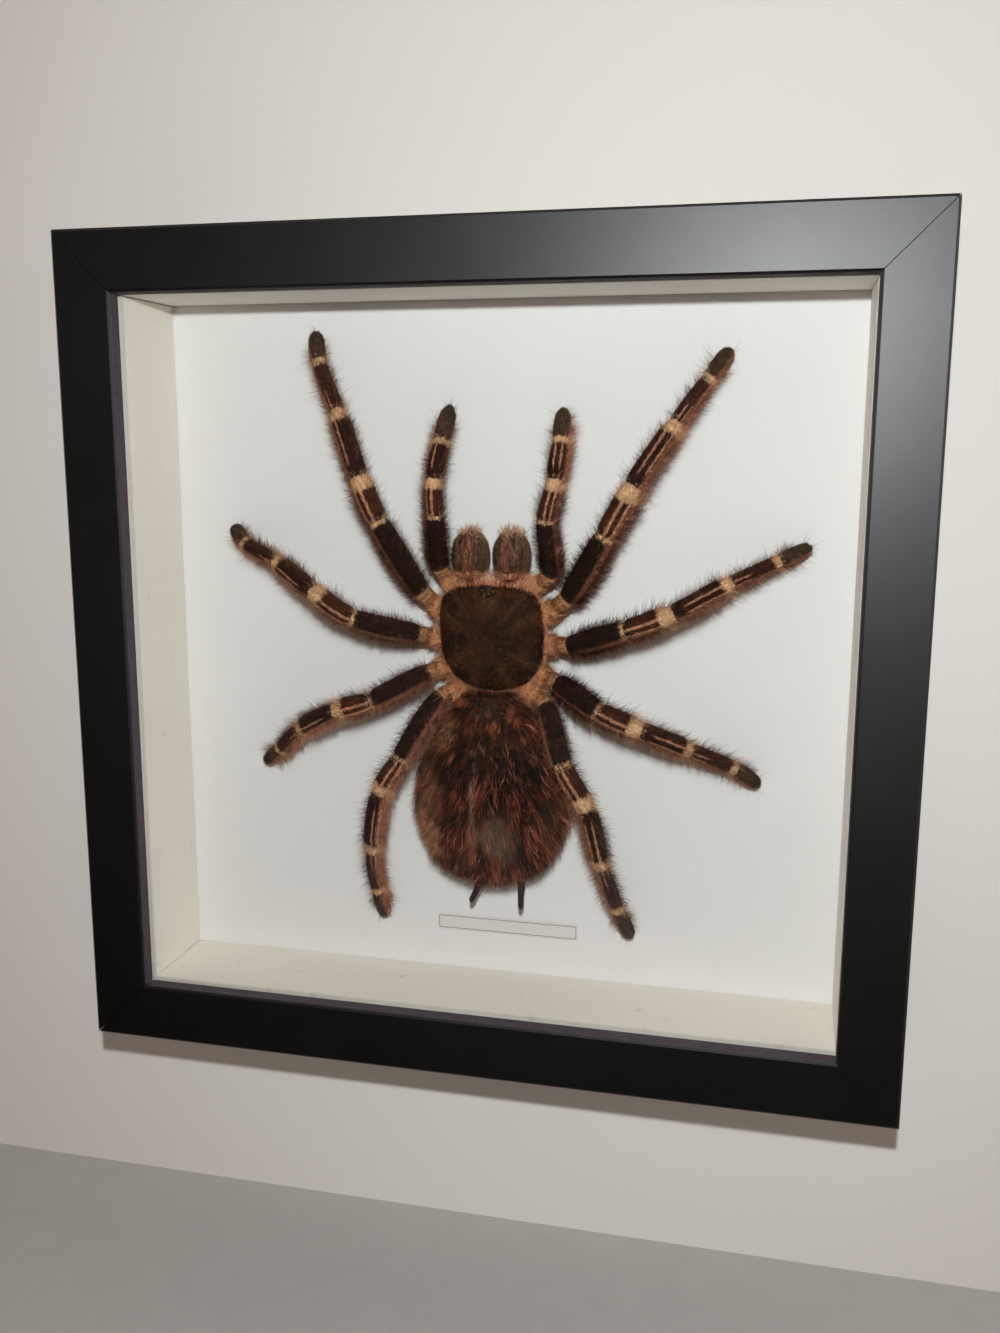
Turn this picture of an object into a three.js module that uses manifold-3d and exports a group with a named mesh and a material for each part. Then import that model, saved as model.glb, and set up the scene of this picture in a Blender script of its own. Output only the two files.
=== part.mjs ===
// A large spider, dried and spread, in a deep square box frame with a glazed front.
import * as THREE from "three";
import { mergeVertices } from "three/addons/utils/BufferGeometryUtils.js";
import Module from "manifold-3d";

const wasm = await Module();
wasm.setup();

// Driving dimensions, in millimetres and degrees. X is right, Z is up and Y runs from the front face
// (0) back to the wall. Until the last lines, X and Z are counted from the middle of the front face.
const FRAME_SIZE = 250;
const FRAME_DEPTH = 45;
const FACE_WIDTH = 18; // the moulding seen from the front
const WALL_WIDTH = 12; // the moulding behind its lip
const LIP_DEPTH = 5;
const EDGE_CHAMFER = 0.8;
const GAP = 0.3; // left between pieces that touch
const PLAY = 1; // round the glass, the card and the board in the moulding
const GLASS_THICKNESS = 2;
const CARD_FRONT = 39; // depth of the card that the spider lies on
const CARD_THICKNESS = 1;
const BOARD_THICKNESS = 2.4;
const LABEL = { width: 46.6, height: 5, thickness: 0.3, x: 3.3, z: -91.3 };
const TAB = { width: 11, reach: 9, root: 4, thickness: 0.6, offset: 55 };
const HANGER = { width: 40, height: 6, thickness: 1, tooth: 1.5, inset: 4.4, recess: 2 };
const NAIL_POCKET = { width: 22, depth: 7, above: 2 }; // above is measured from the hanger's middle line
const SCREW = { head: 4.2, headHeight: 0.4, shank: 1.8, length: 7, spacing: 35 };

const half = FRAME_SIZE / 2;
const sight = half - FACE_WIDTH; // half the opening that the glass shows through
const rabbet = half - WALL_WIDTH;
const glassBack = LIP_DEPTH + GAP + GLASS_THICKNESS;
const boardFront = CARD_FRONT + CARD_THICKNESS + GAP;
const boardBack = boardFront + BOARD_THICKNESS;

const finish = (color, roughness, metalness = 0) =>
  new THREE.MeshStandardMaterial({ color, roughness, metalness });
const BLACK_FOIL = finish(0x0f0e0b, 0.5);
const WHITE_PAINT = finish(0xd8d6d0, 0.7);
const WHITE_CARD = finish(0xdcdad4, 0.9);
const LABEL_PAPER = finish(0xd2cec9, 0.85);
const HARDBOARD = finish(0x6e4a2c, 0.8);
const STEEL = finish(0x9a9a98, 0.35, 1);
const CLEAR_GLASS = Object.assign(finish(0xffffff, 0), { transparent: true, opacity: 0.12 });
const VELVET = finish(0x20120b, 0.9);
const ABDOMEN_HAIR = finish(0x3a1e12, 0.95);
const LEG_HAIR = finish(0x2b1710, 0.85);
const FANG_BASE = finish(0x4b3527, 0.8);
const SPINNERET_HAIR = finish(0x120d09, 0.7);

const specimenCase = new THREE.Group();

function add(name, geometry, material) {
  const mesh = new THREE.Mesh(geometry, material);
  mesh.name = name;
  specimenCase.add(mesh);
  return mesh;
}

// A closed geometry as a solid for cutting and joining, and the way back.
function solidOf(geometry) {
  const bare = geometry.clone();
  bare.deleteAttribute("normal");
  bare.deleteAttribute("uv");
  const merged = mergeVertices(bare, 1e-4);
  return new wasm.Manifold(
    new wasm.Mesh({
      numProp: 3,
      vertProperties: merged.attributes.position.array,
      triVerts: new Uint32Array(merged.index.array),
    }),
  );
}

function geometryOf(solid) {
  const { vertProperties, triVerts } = solid.getMesh();
  return new THREE.BufferGeometry()
    .setAttribute("position", new THREE.BufferAttribute(vertProperties, 3))
    .setIndex(new THREE.BufferAttribute(triVerts, 1));
}

// A box from its middle and its size along X, Y and Z.
const block = ([x, y, z], [width, depth, height]) =>
  new THREE.BoxGeometry(width, depth, height).translate(x, y, z);

// A sheet parallel to the front, from one depth to another.
const sheet = (width, height, front, back, x = 0, z = 0) =>
  block([x, (front + back) / 2, z], [width, back - front, height]);

// Puts every vertex of a geometry where place(x, y, z) says.
function reshape(geometry, place) {
  const at = geometry.attributes.position;
  for (let i = 0; i < at.count; i++) at.setXYZ(i, ...place(at.getX(i), at.getY(i), at.getZ(i)));
  return geometry;
}

// ---- The moulding: one L-shaped profile, its lip in front, cut to a mitre at both ends ----

const mouldingProfile = new THREE.Shape(
  [
    [EDGE_CHAMFER, 0],
    [FACE_WIDTH - EDGE_CHAMFER, 0],
    [FACE_WIDTH, EDGE_CHAMFER],
    [FACE_WIDTH, LIP_DEPTH],
    [WALL_WIDTH, LIP_DEPTH],
    [WALL_WIDTH, FRAME_DEPTH],
    [0, FRAME_DEPTH],
    [0, EDGE_CHAMFER],
  ].map(([inset, depth]) => new THREE.Vector2(inset, depth)),
);

// A bar lies along the top. The profile is extruded by 1, and each of its corners is then drawn out
// to the mitre, so that a corner further in makes a shorter edge.
function mouldingBar() {
  const bar = new THREE.ExtrudeGeometry(mouldingProfile, { depth: 1, bevelEnabled: false });
  const mitred = (inset, depth, end) => [
    (end > 0.5 ? 1 : -1) * (half - inset - GAP / 2),
    depth,
    half - inset,
  ];
  return solidOf(reshape(bar, mitred));
}

// Bent steel strips are let into the bar's inner wall and lie over the board.
const tabFront = boardBack + GAP;
const tabBack = tabFront + TAB.thickness;

function tabSlot(x) {
  const size = [TAB.width + 2 * GAP, TAB.thickness + 2 * GAP, TAB.root + 2 * GAP];
  return solidOf(block([x, (tabFront + tabBack) / 2, rabbet + TAB.root / 2], size));
}

// The hanger is let into the top bar's back edge. A pocket behind it is open below its toothed edge,
// where the head of a wall nail goes in and slides up behind the plate.
const hangerMiddle = half - HANGER.inset;

function hangerRecess() {
  const seat = block(
    [0, FRAME_DEPTH - HANGER.recess / 2, hangerMiddle],
    [HANGER.width + 2 * GAP, HANGER.recess, HANGER.height + 2 * GAP],
  );
  const ceiling = hangerMiddle + NAIL_POCKET.above;
  const floor = rabbet - PLAY;
  const pocket = block(
    [0, FRAME_DEPTH - NAIL_POCKET.depth / 2, (ceiling + floor) / 2],
    [NAIL_POCKET.width, NAIL_POCKET.depth, ceiling - floor],
  );
  return solidOf(seat).add(solidOf(pocket));
}

const hangerFront = FRAME_DEPTH - HANGER.recess + GAP;
const screwXs = { left: -SCREW.spacing / 2, right: SCREW.spacing / 2 };

// A lathe turned about Y, at the hanger's height: radii and depths from front to back.
const turnedAt = (x, profile) =>
  new THREE.LatheGeometry(
    profile.map(([radius, depth]) => new THREE.Vector2(radius, depth)),
    12,
  ).translate(x, 0, hangerMiddle);

function screwHole(x, clearance) {
  const radius = SCREW.shank / 2 + clearance;
  const front = hangerFront - SCREW.length - clearance;
  return solidOf(
    turnedAt(x, [
      [0, front],
      [radius, front],
      [radius, FRAME_DEPTH],
      [0, FRAME_DEPTH],
    ]),
  );
}

const bars = { top: 0, right: 90, bottom: 180, left: 270 };
for (const [side, turn] of Object.entries(bars)) {
  let bar = mouldingBar();
  for (const x of [-TAB.offset, TAB.offset]) bar = bar.subtract(tabSlot(x));
  if (side === "top") {
    bar = bar.subtract(hangerRecess());
    for (const x of Object.values(screwXs)) bar = bar.subtract(screwHole(x, GAP));
  }
  add("moulding_" + side, geometryOf(bar), BLACK_FOIL).rotation.y = THREE.MathUtils.degToRad(turn);
}

const tabNames = {
  top: ["left", "right"],
  right: ["upper", "lower"],
  bottom: ["right", "left"],
  left: ["lower", "upper"],
};
for (const [side, turn] of Object.entries(bars)) {
  tabNames[side].forEach((end, i) => {
    const x = i ? TAB.offset : -TAB.offset;
    const length = TAB.root + TAB.reach;
    const middle = rabbet + (TAB.root - TAB.reach) / 2;
    const strip = sheet(TAB.width, length, tabFront, tabBack, x, middle);
    add("tab_" + side + "_" + end, strip, STEEL).rotation.y = THREE.MathUtils.degToRad(turn);
  });
}

// ---- The hanger: a flat plate whose lower edge is toothed, with a screw at each end ----

function hangerPlate() {
  const { width, height, thickness } = HANGER;
  const outline = new THREE.Shape();
  outline.moveTo(-width / 2, -height / 2);
  const toothed = width * 0.42;
  const teeth = 7;
  outline.lineTo(-toothed / 2, -height / 2);
  for (let i = 0; i < teeth; i++) {
    const left = -toothed / 2 + (i * toothed) / teeth;
    outline.lineTo(left + toothed / teeth / 2, -height / 2 + HANGER.tooth);
    outline.lineTo(left + toothed / teeth, -height / 2);
  }
  outline.lineTo(width / 2, -height / 2);
  outline.lineTo(width / 2, height / 2);
  outline.lineTo(-width / 2, height / 2);
  const plate = new THREE.ExtrudeGeometry(outline, { depth: thickness, bevelEnabled: false })
    .rotateX(Math.PI / 2)
    .translate(0, hangerFront + thickness, hangerMiddle);
  return Object.values(screwXs).reduce(
    (cut, x) => cut.subtract(screwHole(x, GAP)),
    solidOf(plate),
  );
}

function screw(x) {
  const under = hangerFront + HANGER.thickness + GAP;
  const shank = SCREW.shank / 2;
  const tip = hangerFront - SCREW.length;
  return turnedAt(x, [
    [0, tip],
    [shank * 0.4, tip],
    [shank, tip + 2],
    [shank, under],
    [SCREW.head / 2, under],
    [SCREW.head / 2 - 0.4, under + SCREW.headHeight],
    [0, under + SCREW.headHeight],
  ]);
}

add("hanger_plate", geometryOf(hangerPlate()), STEEL);
for (const [side, x] of Object.entries(screwXs)) add("hanger_screw_" + side, screw(x), STEEL);

// ---- Glass, liner, card, board and label, from front to back ----

const glassSize = 2 * (rabbet - PLAY);
add("glass_pane", sheet(glassSize, glassSize, LIP_DEPTH + GAP, glassBack), CLEAR_GLASS);

// The liner strips stand between the glass and the card, flush with the lip's edge. The top and
// bottom ones run right across and the side ones stand between them.
const linerFront = glassBack + GAP;
const linerBack = CARD_FRONT - GAP;
const linerWidth = rabbet - PLAY / 2 - sight;
const linerMiddle = sight + linerWidth / 2;
const linerLength = 2 * (sight + linerWidth);
for (const [side, sign] of [["top", 1], ["bottom", -1]]) {
  const strip = sheet(linerLength, linerWidth, linerFront, linerBack, 0, sign * linerMiddle);
  add("liner_" + side, strip, WHITE_PAINT);
}
for (const [side, sign] of [["left", -1], ["right", 1]]) {
  const strip = sheet(linerWidth, 2 * (sight - GAP), linerFront, linerBack, sign * linerMiddle, 0);
  add("liner_" + side, strip, WHITE_PAINT);
}

const cardBack = CARD_FRONT + CARD_THICKNESS;
add("background_card", sheet(glassSize, glassSize, CARD_FRONT, cardBack), WHITE_CARD);
add("backing_board", sheet(glassSize, glassSize, boardFront, boardBack), HARDBOARD);

const labelBack = CARD_FRONT - GAP;
const labelFront = labelBack - LABEL.thickness;
const label = sheet(LABEL.width, LABEL.height, labelFront, labelBack, LABEL.x, LABEL.z);
add("label_card", label, LABEL_PAPER);

// ---- The spider. Its forms reach the tips of their coat of hair. Heights are above the card. ----

const onCard = (x, height, z) => [x, CARD_FRONT - height, z];

// The body's middle line leans a little to the left towards the head.
const BODY = { x: 1, z: 6, lean: 0.045 };
const midline = (z) => BODY.x + (BODY.z - z) * BODY.lean;

const lathe = (profile, sides, girth = 1) =>
  new THREE.LatheGeometry(
    profile.map(([radius, along]) => new THREE.Vector2(radius * girth, along)),
    sides,
  );

// A limb is a row of joints, each with its length and its heading in the plane of the card: 0 points
// right and 90 points up. Its turned form, in which 1 along is one joint, is bent onto a smooth
// curve through the joints.
function limbPath(hip, joints, heights) {
  const points = [new THREE.Vector3(...hip)];
  joints.forEach(([length, heading], i) => {
    const from = points[i];
    const rise = heights[i] - from.y;
    const reach = Math.sqrt(length ** 2 - rise ** 2);
    const turn = THREE.MathUtils.degToRad(heading);
    const x = from.x + reach * Math.cos(turn);
    const z = from.z + reach * Math.sin(turn);
    points.push(new THREE.Vector3(x, heights[i], z));
  });
  return new THREE.CatmullRomCurve3(points, false, "centripetal");
}

// Here Y is the height, so the coat's upper side stays turned away from the card.
function bentOnto(path, turned) {
  const joints = path.points.length - 1;
  const away = new THREE.Vector3(0, 1, 0);
  return reshape(turned, (across, along, up) => {
    const t = Math.min(along / joints, 1);
    const ahead = path.getTangent(t);
    const side = new THREE.Vector3().crossVectors(away, ahead).normalize();
    const top = new THREE.Vector3().crossVectors(ahead, side);
    const point = path.getPoint(t).addScaledVector(side, across).addScaledVector(top, up);
    return onCard(point.x, point.y, point.z);
  });
}

// Half the thickness of a leg with its coat, at places counted in joints from the hip: trochanter,
// femur, patella, tibia, metatarsus and the club-shaped tarsus.
const LEG_FORM = [
  [0, 0],
  [2.9, 0],
  [3.2, 0.6],
  [3.1, 1],
  [3.7, 1.2],
  [4.0, 1.5],
  [3.8, 1.88],
  [3.3, 2],
  [3.7, 2.15],
  [3.8, 2.75],
  [3.2, 3],
  [3.5, 3.15],
  [3.5, 3.8],
  [2.8, 4],
  [2.8, 4.5],
  [2.6, 5],
  [2.9, 5.3],
  [2.8, 5.7],
  [1.9, 5.93],
  [0, 6],
];
const PALP_FORM = [
  [0, 0],
  [2.8, 0],
  [3.0, 1],
  [3.2, 1.4],
  [3.1, 1.9],
  [2.7, 2],
  [3.0, 2.2],
  [3.0, 2.8],
  [2.6, 3],
  [3.1, 3.3],
  [3.0, 3.8],
  [2.7, 4],
  [3.0, 4.4],
  [2.7, 4.75],
  [1.6, 4.95],
  [0, 5],
];

// Heights of the joints' far ends above the card: a leg arches up to its knee and comes down on its
// tarsus.
const HIP_HEIGHT = 9.5;
const LEG_HEIGHTS = [10.5, 17.5, 18.5, 12.5, 6.5, 3.6];
const PALP_HEIGHTS = [10, 15, 15, 9, 4.2];

const LEGS = {
  left_1: {
    girth: 1,
    hip: [-18.3, 16.1],
    joints: [[4.6, 137], [25.8, 118], [14, 113], [22.4, 114], [18.4, 117], [9.4, 102]],
  },
  left_2: {
    girth: 0.95,
    hip: [-19.4, 5.6],
    joints: [[3.2, 171], [21.5, 165], [14.5, 147], [17.6, 150], [15.7, 158], [7.5, 134]],
  },
  left_3: {
    girth: 0.96,
    hip: [-17.1, -4.6],
    joints: [[2.6, 204], [20.4, 207], [11.8, 198], [17.4, 209], [14.6, 221], [8.5, 220]],
  },
  left_4: {
    girth: 0.92,
    hip: [-13.4, -12.1],
    joints: [[2.4, 200], [23.8, 239], [12.6, 240], [22.9, 257], [16.9, 269], [10, 280]],
  },
  right_1: {
    girth: 1,
    hip: [20, 15.8],
    joints: [[4.6, 37], [24, 58], [16.3, 61], [21.9, 58], [16.8, 56], [10.3, 56]],
  },
  right_2: {
    girth: 0.95,
    hip: [20.5, 4.2],
    joints: [[3.8, 4], [20.3, 19], [14.7, 22], [19.1, 28], [15.8, 25], [10.4, 26]],
  },
  right_3: {
    girth: 0.97,
    hip: [17.9, -6.2],
    joints: [[3.1, -18], [17.2, -26], [13.3, -21], [16.9, -25], [15.9, -26], [9.5, -36]],
  },
  right_4: {
    girth: 0.95,
    hip: [14.8, -12.4],
    joints: [[2.8, -34], [20.3, -68], [14.4, -59], [21.4, -78], [17.9, -74], [10.7, -68]],
  },
};
const PALPS = {
  left: { hip: [-13.8, 23.8], joints: [[3.2, 125], [17.2, 92], [10.7, 91], [13, 87], [11.9, 81]] },
  right: { hip: [15.2, 23.3], joints: [[3.5, 34], [17.5, 91], [12, 78], [13.2, 87], [10.5, 91]] },
};

const pathOf = ({ hip: [x, z], joints }, heights) => limbPath([x, HIP_HEIGHT, z], joints, heights);
const hips = [];

for (const [name, leg] of Object.entries(LEGS)) {
  const path = pathOf(leg, LEG_HEIGHTS);
  hips.push({ path, radius: 3.4 });
  add("leg_" + name, bentOnto(path, lathe(LEG_FORM, 8, leg.girth)), LEG_HAIR);
}
for (const [name, palp] of Object.entries(PALPS)) {
  const path = pathOf(palp, PALP_HEIGHTS);
  hips.push({ path, radius: 2.8 });
  add("palp_" + name, bentOnto(path, lathe(PALP_FORM, 8)), LEG_HAIR);
}

// The cephalothorax: a domed shield with a blunt front over the sternum, an eye mound near its front
// edge, and a coxa out to each limb's hip.
const CARAPACE = { front: 23.3, back: -10.4, halfWidth: 16.6 };
const CARAPACE_FORM = [
  [0, 0.4],
  [0.55, 0.4],
  [0.78, 5],
  [0.92, 9],
  [1, 11.4],
  [1, 12.6],
  [0.93, 14.8],
  [0.72, 17.4],
  [0.4, 18.8],
  [0, 19],
];

// A corner of the shield's outline is squarer at the front than at the back.
function shieldPlace(across, height, ahead) {
  const radius = Math.hypot(across, ahead);
  const length = (CARAPACE.front - CARAPACE.back) / 2;
  const middle = (CARAPACE.front + CARAPACE.back) / 2;
  const squareness = ahead > 0 ? 0.62 : 0.88;
  const rounded = (share) => Math.sign(share) * Math.abs(share) ** squareness;
  const z = middle + length * radius * (radius ? rounded(ahead / radius) : 0);
  const narrowing = ahead > 0 ? 1 - 0.14 * (ahead / Math.max(radius, 1e-6)) ** 2 : 1;
  const x = CARAPACE.halfWidth * narrowing * radius * (radius ? rounded(across / radius) : 0);
  return onCard(midline(z) - x, height, z);
}

function eyeMound() {
  const mound = new THREE.SphereGeometry(1, 10, 6);
  const place = (x, y, z) => onCard(midline(20.4) + 3.1 * x, 17.4 + 2.1 * z, 20.2 + 1.9 * y);
  return solidOf(reshape(mound, place));
}

// A coxa runs from under the shield to its limb's hip and stops short of it by the gap.
function coxa({ path, radius }) {
  const hip = path.getPoint(0);
  const ahead = path.getTangent(0);
  const inner = new THREE.Vector3(midline(hip.z) + (hip.x - 1) * 0.35, 7.5, 6 + (hip.z - 6) * 0.5);
  const outer = hip.clone().addScaledVector(ahead, -GAP);
  const bend = hip.clone().addScaledVector(ahead, -3);
  const course = new THREE.CatmullRomCurve3([inner, bend, outer]);
  const form = [
    [0, 0],
    [radius * 1.1, 0],
    [radius * 1.1, 1],
    [radius * 0.95, 1.6],
    [radius, 2],
    [0, 2],
  ];
  return solidOf(bentOnto(course, lathe(form, 8)));
}

const shield = solidOf(reshape(lathe(CARAPACE_FORM, 28), shieldPlace));
const cephalothorax = hips.reduce((body, hip) => body.add(coxa(hip)), shield.add(eyeMound()));
add("cephalothorax", geometryOf(cephalothorax), VELVET);

// The abdomen: a sagging bag, widest towards its rear, which hangs on a narrow stalk and leans a
// little to the left. Each form point is a half width and a share of the length from the stalk.
const ABDOMEN = { front: -11.4, back: -71.4, belly: 0.5, equator: 11, top: 25 };
const ABDOMEN_FORM = [
  [0, 0],
  [5.5, 0],
  [10.6, 0.06],
  [14.9, 0.14],
  [19, 0.26],
  [22.2, 0.38],
  [23.6, 0.5],
  [24.3, 0.62],
  [22.3, 0.74],
  [19, 0.86],
  [13, 0.95],
  [6.5, 0.99],
  [0, 1],
];

function abdomen() {
  const widest = Math.max(...ABDOMEN_FORM.map(([halfWidth]) => halfWidth));
  const place = (across, share, up) => {
    const z = ABDOMEN.front + (ABDOMEN.back - ABDOMEN.front) * share;
    const lift = up > 0 ? ABDOMEN.top - ABDOMEN.equator : ABDOMEN.equator - ABDOMEN.belly;
    const x = midline(z) - 1.7 - 2.4 * share ** 2 - across;
    return onCard(x, ABDOMEN.equator + (lift * up) / widest, z);
  };
  return reshape(lathe(ABDOMEN_FORM, 20), place);
}
const abdomenSolid = solidOf(abdomen());
add("abdomen", geometryOf(abdomenSolid), ABDOMEN_HAIR);

// Each chelicera is a plump basal joint with a fang folded back under it.
const CHELICERA = { rear: 24, front: 38.2, halfWidth: 6, height: 10.6, halfHeight: 7.4, spacing: 6.4 };
const CHELICERA_FORM = [
  [0, 0],
  [0.62, 0],
  [0.86, 0.2],
  [1, 0.48],
  [0.92, 0.72],
  [0.68, 0.9],
  [0.32, 0.98],
  [0, 1],
];

function chelicera(sign) {
  const { rear, front, halfWidth, height, halfHeight, spacing } = CHELICERA;
  const middle = midline(rear) + sign * spacing;
  const basal = reshape(lathe(CHELICERA_FORM, 14), (across, along, up) =>
    onCard(middle + halfWidth * across, height + halfHeight * up, rear + (front - rear) * along),
  );
  const fangLine = new THREE.CatmullRomCurve3([
    new THREE.Vector3(middle, 6, front - 3),
    new THREE.Vector3(middle, 2.6, front - 3.2),
    new THREE.Vector3(middle, 1.5, front - 9),
  ]);
  const fang = bentOnto(
    fangLine,
    lathe([[0, 0], [1.3, 0], [1.1, 1], [0.4, 1.9], [0, 2]], 6),
  );
  return solidOf(basal).add(solidOf(fang));
}
add("chelicera_left", geometryOf(chelicera(-1)), FANG_BASE);
add("chelicera_right", geometryOf(chelicera(1)), FANG_BASE);

// The two long spinnerets stand out from the abdomen's rear. Where they enter it they are cut off
// just outside its skin.
const SPINNERETS = {
  left: { root: [-0.4, -67], tip: [-5.8, -79] },
  right: { root: [10.6, -64], tip: [10.5, -80] },
};
const SPINNERET_FORM = [
  [0, 0],
  [1.5, 0],
  [1.35, 1.1],
  [1.15, 1.2],
  [1.0, 1.85],
  [0, 2],
];
const grown = 1 + (2 * GAP) / 24;
const abdomenMiddle = onCard(midline(-50), ABDOMEN.equator, -50);
const abdomenRoom = solidOf(
  abdomen()
    .translate(...abdomenMiddle.map((v) => -v))
    .scale(grown, grown, grown)
    .translate(...abdomenMiddle),
);

for (const [side, { root, tip }] of Object.entries(SPINNERETS)) {
  const height = ABDOMEN.equator + 1.5;
  const from = new THREE.Vector3(root[0], height, root[1]);
  const to = new THREE.Vector3(tip[0], height + 0.5, tip[1]);
  const line = new THREE.CatmullRomCurve3([from, from.clone().lerp(to, 0.5), to]);
  const spinneret = solidOf(bentOnto(line, lathe(SPINNERET_FORM, 8))).subtract(abdomenRoom);
  add("spinneret_" + side, geometryOf(spinneret), SPINNERET_HAIR);
}

// The origin is on the wall, at the top of the hanger's middle notch, where a nail carries the case.
const notchTop = hangerMiddle - HANGER.height / 2 + HANGER.tooth;
specimenCase.position.set(0, -FRAME_DEPTH, -notchTop);

export default specimenCase;
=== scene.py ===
"""A large dried spider, spread on a white card in a deep black box frame with a glazed front."""
import math

import bpy
import numpy as np
from mathutils import Matrix, Vector
from mathutils.kdtree import KDTree


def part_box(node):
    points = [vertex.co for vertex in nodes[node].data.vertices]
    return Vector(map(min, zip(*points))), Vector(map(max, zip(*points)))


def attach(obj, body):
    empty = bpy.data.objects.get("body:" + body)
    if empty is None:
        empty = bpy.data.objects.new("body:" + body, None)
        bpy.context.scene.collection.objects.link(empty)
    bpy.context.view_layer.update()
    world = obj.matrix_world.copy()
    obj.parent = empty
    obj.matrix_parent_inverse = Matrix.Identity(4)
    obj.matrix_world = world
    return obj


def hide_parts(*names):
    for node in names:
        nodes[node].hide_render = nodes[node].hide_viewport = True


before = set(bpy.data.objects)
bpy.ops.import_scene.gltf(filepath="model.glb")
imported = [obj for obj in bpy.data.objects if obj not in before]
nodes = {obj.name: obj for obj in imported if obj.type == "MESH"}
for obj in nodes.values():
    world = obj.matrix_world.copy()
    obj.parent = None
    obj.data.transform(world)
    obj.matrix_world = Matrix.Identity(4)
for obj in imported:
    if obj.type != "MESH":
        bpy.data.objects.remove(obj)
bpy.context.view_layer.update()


# ---- The moulding ----
# Four bars of softwood wrapped in black foil and mitred at the corners. The foil is satin, with a
# fine embossed tooth. It is thin over the lip's inner edge, where the rough, greyish wood filler
# under it shows, and rubbed a little along the arrises.


def ink(red, green, blue):
    """A colour as the eye reads it, from 0 to 255, as the linear colour of a socket."""
    shares = [channel / 255 for channel in (red, green, blue)]
    linear = [s / 12.92 if s < 0.04045 else ((s + 0.055) / 1.055) ** 2.4 for s in shares]
    return (*linear, 1.0)


class Shade:
    """One value, colour or direction in a material's tree, with the operators that are used on it."""

    def __init__(self, tree, socket=None):
        self.tree = tree
        self.socket = socket

    def node(self, kind, settings=None, inputs=None, output=0):
        made = self.tree.nodes.new(kind)
        for name, value in (settings or {}).items():
            if name == "stops":
                ramp = made.color_ramp
                ramp.elements[0].position = value[0][0]
                ramp.elements[-1].position = value[-1][0]
                for position, _ in value[1:-1]:
                    ramp.elements.new(position)
                for element, (_, colour) in zip(ramp.elements, value):
                    element.color = ink(*colour)
            else:
                setattr(made, name, value)
        for name, value in (inputs or {}).items():
            if isinstance(value, Shade):
                self.tree.links.new(value.socket, made.inputs[name])
            else:
                made.inputs[name].default_value = value
        return Shade(self.tree, made.outputs[output] if made.outputs else None)

    def sum(self, operation, *values):
        return self.node("ShaderNodeMath", {"operation": operation}, dict(enumerate(values)))

    def __add__(self, other):
        return self.sum("ADD", self, other)

    def __sub__(self, other):
        return self.sum("SUBTRACT", self, other)

    def __rsub__(self, other):
        return self.sum("SUBTRACT", other, self)

    def __mul__(self, other):
        return self.sum("MULTIPLY", self, other)

    def __truediv__(self, other):
        return self.sum("DIVIDE", self, other)

    def __abs__(self):
        return self.sum("ABSOLUTE", self)

    def larger(self, other):
        return self.sum("MAXIMUM", self, other)

    __radd__ = __add__
    __rmul__ = __mul__

    def rise(self, low, high):
        """0 below low and 1 above high, or the other way round where low is the larger."""
        limits = {"Value": self, "From Min": low, "From Max": high}
        return self.node("ShaderNodeMapRange", {"interpolation_type": "SMOOTHSTEP"}, limits)

    def wave(self, length):
        return self.sum("SINE", self * (math.tau / length))

    def band(self, low, high, soft):
        return self.rise(low - soft, low + soft) * self.rise(high + soft, high - soft)

    def tint(self, none, full):
        """The colour none where this value is 0 and full where it is 1."""
        return self.node("ShaderNodeMix", {"data_type": "RGBA"}, {0: self, 6: none, 7: full}, 2)

    def ramp(self, *stops):
        """The colour that runs through the stops, each a value from 0 to 1 and an ink."""
        return self.node("ShaderNodeValToRGB", {"stops": stops}, {0: self})

    def dim(self, share):
        """This colour, darker or brighter by a share."""
        return self.node("ShaderNodeVectorMath", {"operation": "SCALE"}, {0: self, 3: share})

    def split(self):
        """The three parts of a direction or place."""
        return [self.node("ShaderNodeSeparateXYZ", None, {0: self}, part) for part in range(3)]

    def stretched(self, x, y, z):
        return self.node("ShaderNodeVectorMath", {"operation": "MULTIPLY"}, {0: self, 1: (x, y, z)})

    def noise(self, scale, detail=3.0, roughness=0.55):
        inputs = {"Vector": self, "Scale": scale, "Detail": detail, "Roughness": roughness}
        return self.node("ShaderNodeTexNoise", None, inputs)

    def bump(self, strength, depth):
        """The surface's normal, tilted by this height. depth is in metres."""
        return self.node("ShaderNodeBump", None, {"Strength": strength, "Distance": depth, "Height": self})

    def place(self):
        """Where the surface is on the object, in metres."""
        return self.node("ShaderNodeTexCoord", output=3)

    def mark(self, name):
        """A number that the mesh carries at each of its points."""
        return self.node("ShaderNodeAttribute", {"attribute_name": name}, output=2)


def finish(name):
    """A new material and the start of its tree."""
    material = bpy.data.materials.new(name)
    material.use_nodes = True
    material.node_tree.nodes.clear()
    return material, Shade(material.node_tree)


def shine(start, **sockets):
    """The material's outer surface, from the shader's sockets, each named with underscores."""
    inputs = {name.replace("_", " "): value for name, value in sockets.items()}
    surface = start.node("ShaderNodeBsdfPrincipled", None, inputs)
    start.node("ShaderNodeOutputMaterial", None, {"Surface": surface})


def dress(material, *names):
    for name in names:
        nodes[name].material_slots[0].material = material


# The case's width and height, its depth and the width of its face, in metres.
FRAME_SIZE = 0.250
FRAME_DEPTH = 0.045
FACE_WIDTH = 0.018
case_low, case_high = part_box("moulding_left")
MIDDLE_Z = (case_low.z + case_high.z) / 2
SIGHT = FRAME_SIZE / 2 - FACE_WIDTH  # from the middle to the face's inner edge

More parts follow.
